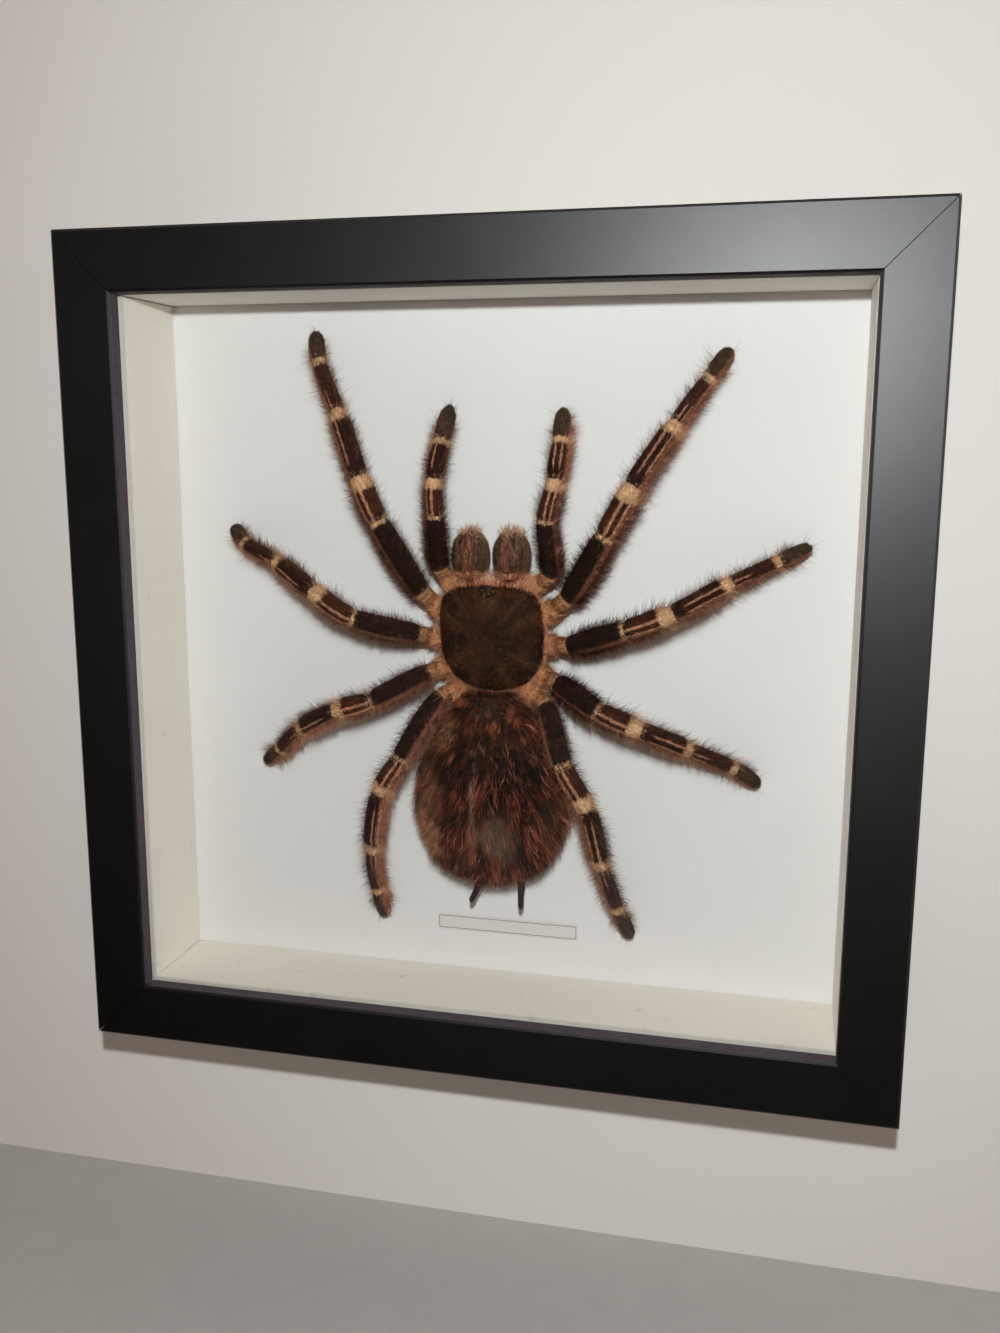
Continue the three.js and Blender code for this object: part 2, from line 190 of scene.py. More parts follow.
black_foil, start = finish("black_foil")
spot = start.place()
x, y, z = spot.split()
from_middle = abs(x).larger(abs(z - MIDDLE_Z))
inner_edge = from_middle.rise(SIGHT + 0.0005, SIGHT + 0.0001) * (y + FRAME_DEPTH).rise(0.0004, 0.0010)
arris = from_middle.rise(FRAME_SIZE / 2 - 0.0009, FRAME_SIZE / 2 - 0.0002) * y.rise(-0.0440, -0.0449)
tooth = spot.noise(4200, 2)
cloud = spot.noise(38, 3)
wear = spot.noise(900, 4, 0.7).rise(0.52, 0.66)
filler = wear.tint(ink(64, 53, 62), ink(30, 24, 29))
foil = cloud.tint(ink(10, 9, 7), ink(18, 17, 14))
rubbed = (arris * wear).tint(foil, ink(64, 60, 54))
shine(
    start,
    Base_Color=inner_edge.tint(rubbed, filler),
    Roughness=0.36 + 0.06 * tooth + 0.04 * cloud + 0.35 * inner_edge,
    Specular_IOR_Level=0.55,
    Normal=(tooth + 0.7 * inner_edge * wear).bump(0.3, 0.0001),
)
dress(black_foil, "moulding_top", "moulding_right", "moulding_bottom", "moulding_left")


# ---- The glass ----
# One clear sheet of 2 mm picture glass, loose behind the lip. It is flat and clean, so it shows only
# as a faint shine. The lamps' light and the light that the white case scatters pass straight through.

clear_glass, start = finish("clear_glass")
sheet = start.node(
    "ShaderNodeBsdfPrincipled",
    None,
    {"Base Color": ink(252, 255, 253), "Roughness": 0.0, "IOR": 1.45, "Transmission Weight": 1.0},
)
unseen = start.node("ShaderNodeBsdfTransparent")
lamp_ray = start.node("ShaderNodeLightPath", output=1)
scattered_ray = start.node("ShaderNodeLightPath", output=2)
pane = start.node("ShaderNodeMixShader", None, {0: lamp_ray + scattered_ray, 1: sheet, 2: unseen})
start.node("ShaderNodeOutputMaterial", None, {"Surface": pane})
dress(clear_glass, "glass_pane")


# ---- The liner, the card and the board ----
# Four white painted wooden strips hold the card away from the glass. The card is matt, with a fine
# tooth and faint clouds of tone, and a brown hardboard with a woven back face closes the case.

white_paint, start = finish("white_paint")
spot = start.place()
_, y, _ = spot.split()
brushed = spot.stretched(1, 0.12, 1).noise(1400, 3)
scuffs = spot.noise(150, 5, 0.7).rise(0.60, 0.72)
# The strips are darker in a narrow band along their front edge, against the glass.
edge = y.rise(-0.0355, -0.0374) * 0.5
paint = spot.noise(24, 3).tint(ink(234, 228, 219), ink(226, 219, 209))
shine(
    start,
    Base_Color=(scuffs * 0.4 + edge).tint(paint, ink(172, 166, 158)),
    Roughness=0.62 + 0.12 * brushed,
    Normal=brushed.bump(0.25, 0.00015),
)
dress(white_paint, "liner_top", "liner_bottom", "liner_left", "liner_right")

white_card, start = finish("white_card")
spot = start.place()
fibre = spot.noise(1900, 4, 0.65)
cloud = spot.noise(17, 3)
warm = spot.noise(31, 2).tint(ink(224, 223, 220), ink(227, 221, 217))
shine(
    start,
    Base_Color=(0.5 * cloud + 0.25 * fibre).tint(warm, ink(212, 214, 212)),
    Roughness=0.85 + 0.1 * fibre,
    Specular_IOR_Level=0.3,
    Normal=fibre.bump(0.2, 0.0001),
)
dress(white_card, "background_card")

hardboard, start = finish("hardboard")
spot = start.place()
x, _, z = spot.split()
MESH_PITCH = 0.0016  # of the woven back, in metres
screen = x.wave(MESH_PITCH) * z.wave(MESH_PITCH) * 0.5 + 0.5
chips = spot.noise(420, 5, 0.7)
board = chips.tint(ink(92, 62, 38), ink(146, 105, 68))
shine(
    start,
    Base_Color=(screen * 0.35).tint(board, ink(72, 48, 30)),
    Roughness=0.78 + 0.15 * chips,
    Normal=(screen + 0.8 * chips).bump(0.5, 0.0003),
)
dress(hardboard, "backing_board")


# ---- The label ----
# A slip of matt paper glued to the card, with a thin grey printed border just inside its edge. Its
# face is bare.

BORDER_INSET = 0.00035
BORDER_WIDTH = 0.00024
label_low, label_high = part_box("label_card")
label_middle = (label_low + label_high) / 2

label_paper, start = finish("label_paper")
spot = start.place()
x, _, z = spot.split()
side = (label_high.x - label_low.x) / 2 - abs(x - label_middle.x)
rail = (label_high.z - label_low.z) / 2 - abs(z - label_middle.z)
inset = side.sum("MINIMUM", side, rail)
fibre = spot.noise(2600, 4, 0.6)
line = inset.band(BORDER_INSET, BORDER_INSET + BORDER_WIDTH, 0.00004) * (0.55 + 0.45 * fibre)
paper = fibre.tint(ink(219, 215, 210), ink(206, 202, 197))
shine(
    start,
    Base_Color=line.tint(paper, ink(70, 70, 74)),
    Roughness=0.8 + 0.1 * fibre,
    Normal=fibre.bump(0.2, 0.00006),
)
dress(label_paper, "label_card")


# ---- The steel ----
# The bent tabs that hold the board, the toothed hanger and its two screws are zinc-plated steel. The
# plating is drawn out in fine lines, with dull grey blooms.

steel, start = finish("steel")
spot = start.place()
drawn = spot.stretched(1, 1, 0.06).noise(5200, 2)
bloom = spot.noise(210, 4).rise(0.45, 0.7)
shine(
    start,
    Base_Color=bloom.tint(ink(196, 198, 200), ink(150, 150, 148)),
    Metallic=0.85 - 0.4 * bloom,
    Roughness=0.26 + 0.16 * drawn + 0.22 * bloom,
    Normal=drawn.bump(0.2, 0.00004),
)
tabs = [name for name in nodes if name.startswith("tab_")]
dress(steel, *tabs, "hanger_plate", "hanger_screw_left", "hanger_screw_right")


# ---- The legs and the palps ----
# Each limb is a dried tube of joints under short pile, with long fine hairs along its flanks and a
# few bristles. It is nearly black on the femur, brown beyond it and pinkish all along its rear side,
# with cream bands at the joints' ends and two pale stripes. The spider's lengths are in millimetres.

rng = np.random.default_rng(11)
CARD_FACE = 6.0  # from the row's origin forward to the card, in mm
HIP_HEIGHT = 9.5
LEG_HEIGHTS = [10.5, 17.5, 18.5, 12.5, 6.5, 3.6]
PALP_HEIGHTS = [10, 15, 15, 9, 4.2]
# Places in joints from the hip and half the coat's thickness there: trochanter, femur, patella,
# tibia, metatarsus and the club-shaped tarsus. A palp has no metatarsus.
LEG_FORM = [
    (0, 2.9), (0.6, 3.2), (1, 3.1), (1.2, 3.7), (1.5, 4.0), (1.88, 3.8), (2, 3.3), (2.15, 3.7),
    (2.75, 3.8), (3, 3.2), (3.15, 3.5), (3.8, 3.5), (4, 2.8), (4.5, 2.8), (5, 2.6), (5.3, 2.9),
    (5.7, 2.8), (5.88, 2.3), (5.97, 1.2), (6, 0.5),
]
PALP_FORM = [
    (0, 2.8), (1, 3.0), (1.4, 3.2), (1.9, 3.1), (2, 2.7), (2.2, 3.0), (2.8, 3.0), (3, 2.6),
    (3.3, 3.1), (3.8, 3.0), (4, 2.7), (4.4, 3.0), (4.75, 2.7), (4.95, 1.4), (5, 0.5),
]
# A limb's girth, its hip, and the lengths and headings of its joints: 0 is right and 90 is up.
LEGS = {
    "left_1": (1.0, (-18.3, 16.1), (4.6, 25.8, 14, 22.4, 18.4, 9.4), (137, 118, 113, 114, 117, 102)),
    "left_2": (0.95, (-19.4, 5.6), (3.2, 21.5, 14.5, 17.6, 15.7, 7.5), (171, 165, 147, 150, 158, 134)),
    "left_3": (0.96, (-17.1, -4.6), (2.6, 20.4, 11.8, 17.4, 14.6, 8.5), (204, 207, 198, 209, 221, 220)),
    "left_4": (0.92, (-13.4, -12.1), (2.4, 23.8, 12.6, 22.9, 16.9, 10), (200, 239, 240, 257, 269, 280)),
    "right_1": (1.0, (20, 15.8), (4.6, 24, 16.3, 21.9, 16.8, 10.3), (37, 58, 61, 58, 56, 56)),
    "right_2": (0.95, (20.5, 4.2), (3.8, 20.3, 14.7, 19.1, 15.8, 10.4), (4, 19, 22, 28, 25, 26)),
    "right_3": (0.97, (17.9, -6.2), (3.1, 17.2, 13.3, 16.9, 15.9, 9.5), (-18, -26, -21, -25, -26, -36)),
    "right_4": (0.95, (14.8, -12.4), (2.8, 20.3, 14.4, 21.4, 17.9, 10.7), (-34, -68, -59, -78, -74, -68)),
}
PALPS = {
    "left": (1.0, (-13.8, 23.8), (3.2, 17.2, 10.7, 13, 11.9), (125, 92, 91, 87, 81)),
    "right": (1.0, (15.2, 23.3), (3.5, 17.5, 12, 13.2, 10.5), (34, 91, 78, 87, 91)),
}
TWIST = 17  # degrees from a limb's top towards its rear side, where its stripes lie
PALP_HAIR = 0.62  # a palp's share of a leg's hair and of its rear side's paleness


def in_row(points):
    """Places beside, in front of and above the middle of the card's face, as places in the row."""
    return (np.asarray(points) - [0, CARD_FACE, 0]) / 1000 + [0, 0, MIDDLE_Z]


def unit(vectors):
    return vectors / np.maximum(np.linalg.norm(vectors, axis=-1, keepdims=True), 1e-9)


def spread(low, high, count):
    return low + (high - low) * rng.random(count)


def wrapped(rings, start_pole, end_pole):
    """Points and triangles of a closed skin over rings of points, with a pole at each end."""
    count, sides = rings.shape[:2]
    points = np.concatenate([rings.reshape(-1, 3), [start_pole, end_pole]])
    ring, side = np.meshgrid(np.arange(count - 1), np.arange(sides), indexing="ij")
    a = (ring * sides + side).ravel()
    b = (ring * sides + (side + 1) % sides).ravel()
    walls = np.concatenate([np.stack([a, b, b + sides], 1), np.stack([a, b + sides, a + sides], 1)])
    here = np.arange(sides)
    ahead = (here + 1) % sides
    last = (count - 1) * sides
    near = np.stack([np.full(sides, count * sides), ahead, here], 1)
    far = np.stack([np.full(sides, count * sides + 1), last + here, last + ahead], 1)
    return points, np.concatenate([walls, near, far])


def nearest(places, count):
    """For each place, the number of the nearest of a few of them that are picked at random."""
    tree = KDTree(count)
    for number in rng.choice(len(places), count, replace=False):
        tree.insert(places[number], int(number))
    tree.balance()
    return np.array([tree.find(place)[1] for place in places.tolist()])


class Coat:
    """A closed skin in millimetres and the hairs on it, with the marks that its finish reads."""

    def __init__(self, points, triangles, flow, marks):
        corners = points[triangles]
        faces = np.cross(corners[:, 1] - corners[:, 0], corners[:, 2] - corners[:, 0])
        if (corners[:, 0] * faces).sum() < 0:
            triangles = triangles[:, ::-1]
            faces = -faces
        normals = np.zeros_like(points)
        for corner in range(3):
            np.add.at(normals, triangles[:, corner], faces)
        self.points = points
        self.triangles = triangles
        self.areas = np.linalg.norm(faces, axis=1) / 2
        self.normals = unit(normals)
        self.flow = np.broadcast_to(flow, points.shape)
        self.marks = marks
        none = np.zeros(len(points))
        bare = {**marks, "tip": none, "grain": none + 0.5, "fringe": none}
        self.parts = [(points, triangles, self.normals, bare)]

    def grow(self, count, length, width, lift, bend=0, stray=0.25, where=1, fringe=0, lock=10, pull=0.45):
        """Adds hairs. Each leans along the flow, lifted by a range of degrees, bends by bend degrees
        and is pulled with its neighbours, about lock of them, towards one tip."""
        where = where * np.ones(len(self.points))
        chance = self.areas * where[self.triangles].mean(1)
        picked = self.triangles[rng.choice(len(self.areas), count, p=chance / chance.sum())]
        share = rng.dirichlet((1, 1, 1), count)

        def at(values):
            return np.einsum("nc,nc...->n...", share, values[picked])

        root = at(self.points)
        normal = unit(at(self.normals))
        lean = at(self.flow) + stray * rng.normal(size=(count, 3))
        lean = unit(lean - normal * (lean * normal).sum(1, keepdims=True))
        across = np.cross(lean, normal) * width / 2
        reach = spread(*length, count)[:, None]
        angle = np.radians(spread(*lift, count))[:, None]
        turned = angle + math.radians(bend)
        root = root - 0.1 * normal
        middle = root + reach / 2 * (np.cos(angle) * lean + np.sin(angle) * normal)
        tip = middle + reach / 2 * (np.cos(turned) * lean + np.sin(turned) * normal)
        leader = nearest(root, count // lock)
        middle += 0.4 * pull * (middle[leader] - middle)
        tip += pull * (tip[leader] - tip)
        from_leader = root - root[leader]
        rounding = from_leader / np.linalg.norm(from_leader, axis=1).mean()
        if bend:
            waist = 0.7 * across
            strand = [root - across, root + across, middle - waist, middle + waist, tip]
            faces = np.array([[0, 1, 3], [0, 3, 2], [2, 3, 4]])
            along = np.array([0, 0, 0.5, 0.5, 1.0])
        else:
            strand = [root - across, root + across, tip]
            faces = np.array([[0, 1, 2]])
            along = np.array([0, 0, 1.0])
        size = len(along)
        own = rng.random(count)
        marks = {name: np.repeat(at(values), size) for name, values in self.marks.items()}
        marks["tip"] = np.tile(along, count)
        marks["grain"] = np.repeat(0.75 * own[leader] + 0.25 * rng.random(count), size)
        marks["fringe"] = np.full(count * size, float(fringe))
        facing = unit(normal + 0.45 * rounding + 1.2 * fringe * np.array([0, -1, 0]))
        first = np.arange(count)[:, None, None]
        triangles = (first * size + faces).reshape(-1, 3)
        places = np.stack(strand, 1).reshape(-1, 3)
        self.parts.append((places, triangles, np.repeat(facing, size, 0), marks))

    def make(self, name, material, slot, *replaced):
        """Joins the skin and its hairs into one mesh that stands for the CAD nodes."""
        offsets = np.cumsum([0] + [len(part[0]) for part in self.parts[:-1]])
        points = in_row(np.concatenate([part[0] for part in self.parts]))
        corners = np.concatenate([part[1] + offset for part, offset in zip(self.parts, offsets)])
        mesh = bpy.data.meshes.new(name)
        mesh.vertices.add(len(points))
        mesh.vertices.foreach_set("co", points.astype(np.float32).ravel())
        mesh.loops.add(corners.size)
        mesh.loops.foreach_set("vertex_index", corners.astype(np.int32).ravel())
        mesh.polygons.add(len(corners))
        mesh.polygons.foreach_set("loop_start", np.arange(0, corners.size, 3, dtype=np.int32))
        mesh.update(calc_edges=True)
        normals = mesh.attributes.new("custom_normal", "FLOAT_VECTOR", "POINT")
        skin_normals = np.concatenate([part[2] for part in self.parts])
        normals.data.foreach_set("vector", skin_normals.astype(np.float32).ravel())
        for mark in self.parts[0][3]:
            values = np.concatenate([part[3][mark] for part in self.parts])
            attribute = mesh.attributes.new(mark, "FLOAT", "POINT")
            attribute.data.foreach_set("value", values.astype(np.float32))
        mesh.materials.append(material)
        piece = bpy.data.objects.new(name, mesh)
        bpy.context.scene.collection.objects.link(piece)
        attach(piece, "root")
        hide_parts(*replaced)


def limb_joints(hip, lengths, headings, heights):
    """The places of a limb's joints, from the hip. Y is minus the height above the card."""
    places = [np.array([hip[0], -HIP_HEIGHT, hip[1]])]
    for length, heading, height in zip(lengths, headings, heights):
        rise = height + places[-1][1]
        reach = math.sqrt(length**2 - rise**2)
        turn = math.radians(heading)
        x = places[-1][0] + reach * math.cos(turn)
        z = places[-1][2] + reach * math.sin(turn)
        places.append(np.array([x, -height, z]))
    return np.array(places)


def smooth_line(places, at):
    """Points of a smooth centripetal curve through places, at numbers of joints from the first."""
    ends = [2 * places[0] - places[1], *places, 2 * places[-1] - places[-2]]
    points = np.array(ends)
    steps = np.linalg.norm(np.diff(points, axis=0), axis=1) ** 0.5
    joint = np.clip(np.floor(at).astype(int), 0, len(places) - 2)
    w = (at - joint)[:, None]
    x0, x1, x2, x3 = (points[joint + k] for k in range(4))
    d0, d1, d2 = (steps[joint + k][:, None] for k in range(3))
    leave = ((x1 - x0) / d0 - (x2 - x0) / (d0 + d1) + (x2 - x1) / d1) * d1
    arrive = ((x2 - x1) / d1 - (x3 - x1) / (d1 + d2) + (x3 - x2) / d2) * d1
    square = -3 * x1 + 3 * x2 - 2 * leave - arrive
    return x1 + leave * w + square * w**2 + (2 * x1 - 2 * x2 + leave + arrive) * w**3


def limb_coat(places, form, girth, inset, twist, sides=22, steps=24):
    """The skin of a limb, whose form gives its radius at numbers of joints from the hip."""
    count = len(places) - 1
    at = np.linspace(0, count, count * steps + 1)[1:-1]
    line = smooth_line(places, at)
    ahead = unit(smooth_line(places, at + 0.01) - smooth_line(places, at - 0.01))
    away = np.array([0.0, -1.0, 0.0])
    right = unit(np.cross(ahead, away))
    top = np.cross(right, ahead)
    places_along, radii = np.array(form).T
    radius = np.interp(at, places_along, radii) * girth
    groove = np.exp(-(((at - np.round(at)) / 0.035) ** 2))
    radius = np.maximum(radius - inset - 0.35 * groove, 0.3)
    turn = np.linspace(0, math.tau, sides, endpoint=False)
    uneven = 1 + 0.035 * np.sin(3 * turn + rng.random() * 6)[None] * np.sin(at * 5.3)[:, None]
    out = np.sin(turn)[None, :, None] * right[:, None] + np.cos(turn)[None, :, None] * top[:, None]
    rings = line[:, None] + (radius[:, None] * uneven)[:, :, None] * out
    points, triangles = wrapped(rings, places[0], line[-1] + 0.4 * ahead[-1])
    degrees = np.degrees((turn + math.pi) % math.tau - math.pi)
    flow = np.concatenate([np.repeat(ahead, sides, axis=0), ahead[:1], ahead[-1:]])
    marks = {
        "along": np.concatenate([np.repeat(at, sides), [0.0, count]]),
        "around": np.concatenate([np.tile(degrees, len(at)), [0.0, 0.0]]) - twist,
        "rear": np.concatenate([np.tile(np.sin(turn), len(at)), [0.0, 0.0]]) * np.sign(twist),
    }
    return Coat(points, triangles, flow, marks)


leg_hair, start = finish("leg_hair")
along, around, rear = map(start.mark, ("along", "around", "rear"))
tip, grain, fringe = map(start.mark, ("tip", "grain", "fringe"))
lie = start.node("ShaderNodeCombineXYZ", None, {0: along * 1.5, 1: around * 0.11, 2: grain})
strands = lie.noise(2.2, 4, 0.7)
ragged = along + 0.10 * strands + 0.11 * grain - 0.105
ground = (ragged / 6).ramp(
    (0.0, (176, 118, 76)),
    (0.155, (160, 104, 66)),
    (0.18, (40, 22, 15)),
    (0.335, (34, 18, 12)),
    (0.37, (84, 44, 28)),
    (0.50, (44, 23, 15)),
    (0.62, (46, 24, 16)),
    (0.70, (64, 34, 25)),
    (0.82, (68, 42, 33)),
    (0.87, (80, 60, 48)),
    (1.0, (72, 60, 45)),
)
flank = (rear + 0.4 * (strands - 0.5)).rise(0.40, 0.74) * ragged.rise(0.9, 1.3)
flanked = flank.tint(ground, ink(168, 112, 86))
wander = around + (strands - 0.5) * 14


def strongest(masks):
    whole, *rest = masks
    for mask in rest:
        whole = whole.larger(mask)
    return whole


# The two pale stripes of a joint: where each lies in degrees round it and how soft its sides are,
# where they start and end, in joints, and how soft their ends are.
STRIPES = [
    ((-30, -14), (10, 26), 3, (2.0, 3.0), 0.03),
    ((-40, -28), (3, 13), 3, (3.20, 3.95), 0.06),
    ((-30, -20), (5, 14), 4, (4.0, 4.32), 0.06),
]
# The cream bands: where each starts and ends, in joints, how soft its ends are, and its strength.
BANDS = [
    (2.72, 3.01, 0.03, 1.0), (3.82, 4.01, 0.03, 1.0), (4.84, 5.01, 0.03, 1.0),
    (1.96, 2.03, 0.015, 1.0), (0.50, 0.66, 0.08, 0.6), (0.88, 1.02, 0.05, 0.7),
]
stripes = strongest(
    [
        wander.band(*front, edge).larger(wander.band(*back, edge)) * ragged.band(*run, end)
        for front, back, edge, run, end in STRIPES
    ]
)
cap = strongest([ragged.band(low, high, soft) * strength for low, high, soft, strength in BANDS])
cap = cap * abs(around).rise(150, 100) * (0.5 + 0.5 * strands.rise(0.36, 0.52))
striped = (stripes * 0.8).tint(flanked, ink(222, 160, 124))
banded = cap.tint(striped, ink(236, 188, 142))
# Painted shade: each hair darkens towards its root and the skin under the pile is darkest, times a random
# tone per hair. The painted shade is eased on the cream bands.
depth = (0.38 + 0.62 * tip.rise(0.0, 0.75)) * (0.4 + 1.2 * grain)
banded_pile_shade = depth + (1.0 - depth) * cap * 0.25
loose = (grain * 0.8 + tip * 0.2).tint(ink(62, 33, 22), ink(222, 154, 122))
loose = (rear.rise(0.3, -0.2) * 0.75).tint(loose, ink(44, 25, 17))
loose = (cap * 0.8).tint(loose, ink(222, 168, 126))
shine(
    start,
    Base_Color=fringe.tint(banded.dim(banded_pile_shade), loose),
    Roughness=0.62 + 0.2 * strands,
    Specular_IOR_Level=0.06,
    Normal=strands.bump(0.6, 0.0004),
)


def cover(coat, amount):
    """A limb's hair: pile, the fringe of its flanks, single long hairs and bristles on the femur.
    amount is 1 on a leg."""
    around = np.abs(coat.marks["around"])
    along = coat.marks["along"]
    rear = np.clip(coat.marks["rear"] * 3, 0, 1)
    ends = np.clip((along - 0.6) * 3, 0, 1) * np.clip((along.max() - 0.4 - along) * 3, 0.1, 1)
    fringed = ends * (0.3 + 0.7 * rear)
    flanks = np.clip((around - 60 + 18 * rear) / 30, 0, 1) * fringed
    sides = np.clip((around - 30) / 60, 0.05, 1) * fringed
    femur = np.exp(-(((along - 1.5) / 0.5) ** 2))
    coat.grow(int(26000 * amount), (0.7, 1.6), 0.15, (8, 30))
    coat.grow(int(6500 * amount), (1.7, 4.0), 0.11, (28, 78), -18, 0.4, flanks, 0.8, 4, 0.3)
    coat.grow(int(2600 * amount), (2.6, 6.4), 0.095, (38, 85), -22, 0.5, sides, 0.9, 3, 0.15)
    coat.grow(int(420 * amount), (1.6, 3.0), 0.14, (50, 85), 35, 0.6, femur, 0.3)


for name, (girth, *limb) in LEGS.items():
    side = -1 if name.startswith("left") else 1
    coat = limb_coat(limb_joints(*limb, LEG_HEIGHTS), LEG_FORM, girth, 0.42, side * TWIST)
    cover(coat, 1.0)
    coat.make("coat_leg_" + name, leg_hair, "leg_hair", "leg_" + name)
for name, (girth, *limb) in PALPS.items():
    side = -1 if name == "left" else 1
    coat = limb_coat(limb_joints(*limb, PALP_HEIGHTS), PALP_FORM, girth, 0.4, side * TWIST)
    tarsus = coat.marks["along"] > 4  # with no metatarsus before it, and coloured like a leg's
    coat.marks["along"][tarsus] += 1
    coat.marks["rear"] *= PALP_HAIR
    cover(coat, PALP_HAIR)
    coat.make("coat_palp_" + name, leg_hair, "leg_hair", "palp_" + name)


# ---- The cephalothorax ----
# A low dark shield covered in velvet pile, with faint rays running out from a pit behind its middle,
# and a pale orange fringe round its rim. The tan coxae come out from under it to the limbs' hips.

# The shield's middle, beside and above the card's, and how much its axis leans.
BODY_X = 1
BODY_Z = 6
BODY_LEAN = 0.045


def midline(z):
    return BODY_X + (BODY_Z - z) * BODY_LEAN


SHIELD_FRONT = 23.3
SHIELD_BACK = -10.4
SHIELD_HALF_WIDTH = 16.6
# Shares of the radius and heights above the card, from the belly round the rim to the top.
SHIELD_FORM = [
    (0.55, 0.5), (0.78, 5.0), (0.90, 8.6), (0.965, 10.9), (0.985, 11.9), (0.975, 12.7),
    (0.92, 14.4), (0.82, 15.9), (0.70, 17.1), (0.55, 17.9), (0.40, 18.4), (0.20, 18.6), (0.06, 18.6),
]


def shield_place(across, ahead, height):
    """The shield's outline is squarer at the front than at the back."""
    radius = np.hypot(across, ahead)
    squareness = np.where(ahead > 0, 0.43, 0.86)
    share = np.abs(ahead) / np.maximum(radius, 1e-6)
    lengthwise = np.sign(ahead) * share**squareness
    sideways = np.sign(across) * (np.abs(across) / np.maximum(radius, 1e-6)) ** squareness
    z = (SHIELD_FRONT + SHIELD_BACK) / 2 + (SHIELD_FRONT - SHIELD_BACK) / 2 * radius * lengthwise
    narrowing = np.where(ahead > 0, 1 - 0.19 * share**2, 1)
    x = midline(z) + SHIELD_HALF_WIDTH * narrowing * radius * sideways
    return np.stack([x, -height, z], -1)


def shield_coat(sides=72, steps=5):
    shares, heights = np.array(SHIELD_FORM).T
    knots = np.arange(len(shares))
    fine = np.linspace(0, len(shares) - 1, (len(shares) - 1) * steps + 1)
    share = np.interp(fine, knots, shares)[:, None]
    height = np.interp(fine, knots, heights)[:, None]
    turn = np.linspace(0, math.tau, sides, endpoint=False)[None]
    upper = (height > 12.5) * 1.0
    rays = 0.22 * np.cos(turn * 9) * np.clip(share * 1.6 - 0.35, 0, 1) * np.clip(2.6 - 2.4 * share, 0, 1)
    head = 0.7 * np.exp(-(((np.degrees(turn) - 90) / 42) ** 2)) * np.clip(share * 1.3 - 0.1, 0, 1)
    pit = 1.1 * np.exp(-((share / 0.14) ** 2))
    height = height + upper * (rays + head * (share < 0.9) - pit)
    rings = shield_place(share * np.cos(turn), share * np.sin(turn), height)
    points, triangles = wrapped(rings, [BODY_X, -0.5, BODY_Z], rings[-1].mean(0))
    middle = np.array([midline(3), -16, 3])
    flow = unit(points - middle)
    shares_out = np.concatenate([np.repeat(share[:, 0], sides), [0, 0]])
    above = np.concatenate([np.repeat(fine, sides), [0, fine[-1]]])
    turns = np.concatenate([np.tile(turn[0], len(fine)), [0, 0]])
    marks = {
        "rim": np.where(above > 4.4, shares_out, 1.0),
        "ray": np.sin(turns * 9),
        "belly": (above < 4.4) * 1.0,
    }
    return Coat(points, triangles, flow, marks)


velvet, start = finish("velvet")
spot = start.place()
rim, belly, ray = map(start.mark, ("rim", "belly", "ray"))
tip, grain, fringe = map(start.mark, ("tip", "grain", "fringe"))
patches = spot.noise(130, 5, 0.65)
mottles = spot.noise(620, 4, 0.7)
pile = patches.rise(0.36, 0.66).tint(ink(28, 15, 8), ink(58, 34, 18))
rayed = (ray.rise(0.1, 1.0) * rim.rise(0.2, 0.6) * 0.5).tint(pile, ink(92, 58, 34))
flecked = (mottles.rise(0.50, 0.66) * 0.5).tint(rayed, ink(98, 50, 32))
edged = (rim.rise(0.955, 0.99) * (0.45 + mottles)).tint(flecked, ink(206, 122, 74))
under = belly.tint(edged, ink(104, 60, 38))
# Painted shade: each hair darkens towards its root and the skin under the pile is darkest, times a random
# tone per hair and patch.
depth = (0.42 + 0.58 * tip.rise(0.0, 0.75)) * (0.5 + grain) * (0.7 + 0.6 * mottles)
rim_hair = (grain * 0.7 + tip * 0.6 - 0.2).tint(ink(120, 46, 24), ink(250, 196, 152))
shine(
    start,
    Base_Color=fringe.tint(under.dim(depth), rim_hair),
    Roughness=0.62 + 0.2 * mottles,
    Specular_IOR_Level=0.06,
    Normal=mottles.bump(0.5, 0.0003),
)

coat = shield_coat()
under_mark = coat.marks["belly"]
rim_mark = coat.marks["rim"] * (1 - under_mark)
edge = np.clip((rim_mark - 0.962) * 60, 0, 1)
front = np.clip((rim_mark - 0.90) * 30, 0, 1) * np.clip((coat.points[:, 2] - 20.0) / 2, 0, 1)
back = edge * np.clip((-4 - coat.points[:, 2]) / 2, 0, 1)
coat.grow(36000, (0.5, 1.2), 0.15, (8, 26), 0, 0.35, 1 - 0.9 * under_mark, 0, 26, 0.6)
coat.grow(1700, (0.9, 3.6), 0.16, (-15, 45), -20, 0.8, edge, 0.95, 3, 0.35)
coat.grow(420, (2.8, 5.4), 0.2, (25, 75), -12, 0.3, front, 1.0, 3, 0.3)
coat.grow(700, (2.5, 5.0), 0.15, (-25, 20), -12, 0.6, back, 0.9, 3, 0.3)
coat.make("carapace", velvet, "velvet", "cephalothorax")

tan_hair, start = finish("coxa_hair")
spot = start.place()
along, tip, grain, fringe = map(start.mark, ("along", "tip", "grain", "fringe"))
tufts = spot.noise(460, 4, 0.7)
ragged = along + 0.5 * tufts - 0.25
skin = tufts.rise(0.36, 0.64).tint(ink(142, 76, 46), ink(240, 160, 102))
edged = (ragged.band(1.5, 1.85, 0.1) * 0.8).tint(skin, ink(248, 204, 148))
# Painted shade: each hair darkens towards its root and the skin under the tufts is darkest, times a random
# tone per hair.
depth = (0.42 + 0.58 * tip.rise(0.0, 0.75)) * (0.4 + 1.1 * grain)
tufted = (grain * 0.9 + tip * 0.3 - 0.05).tint(ink(108, 46, 24), ink(242, 172, 122))
shine(
    start,
    Base_Color=fringe.tint(edged.dim(depth), tufted),
    Roughness=0.6 + 0.2 * tufts,
    Specular_IOR_Level=0.15,
    Normal=tufts.bump(0.5, 0.0005),
)

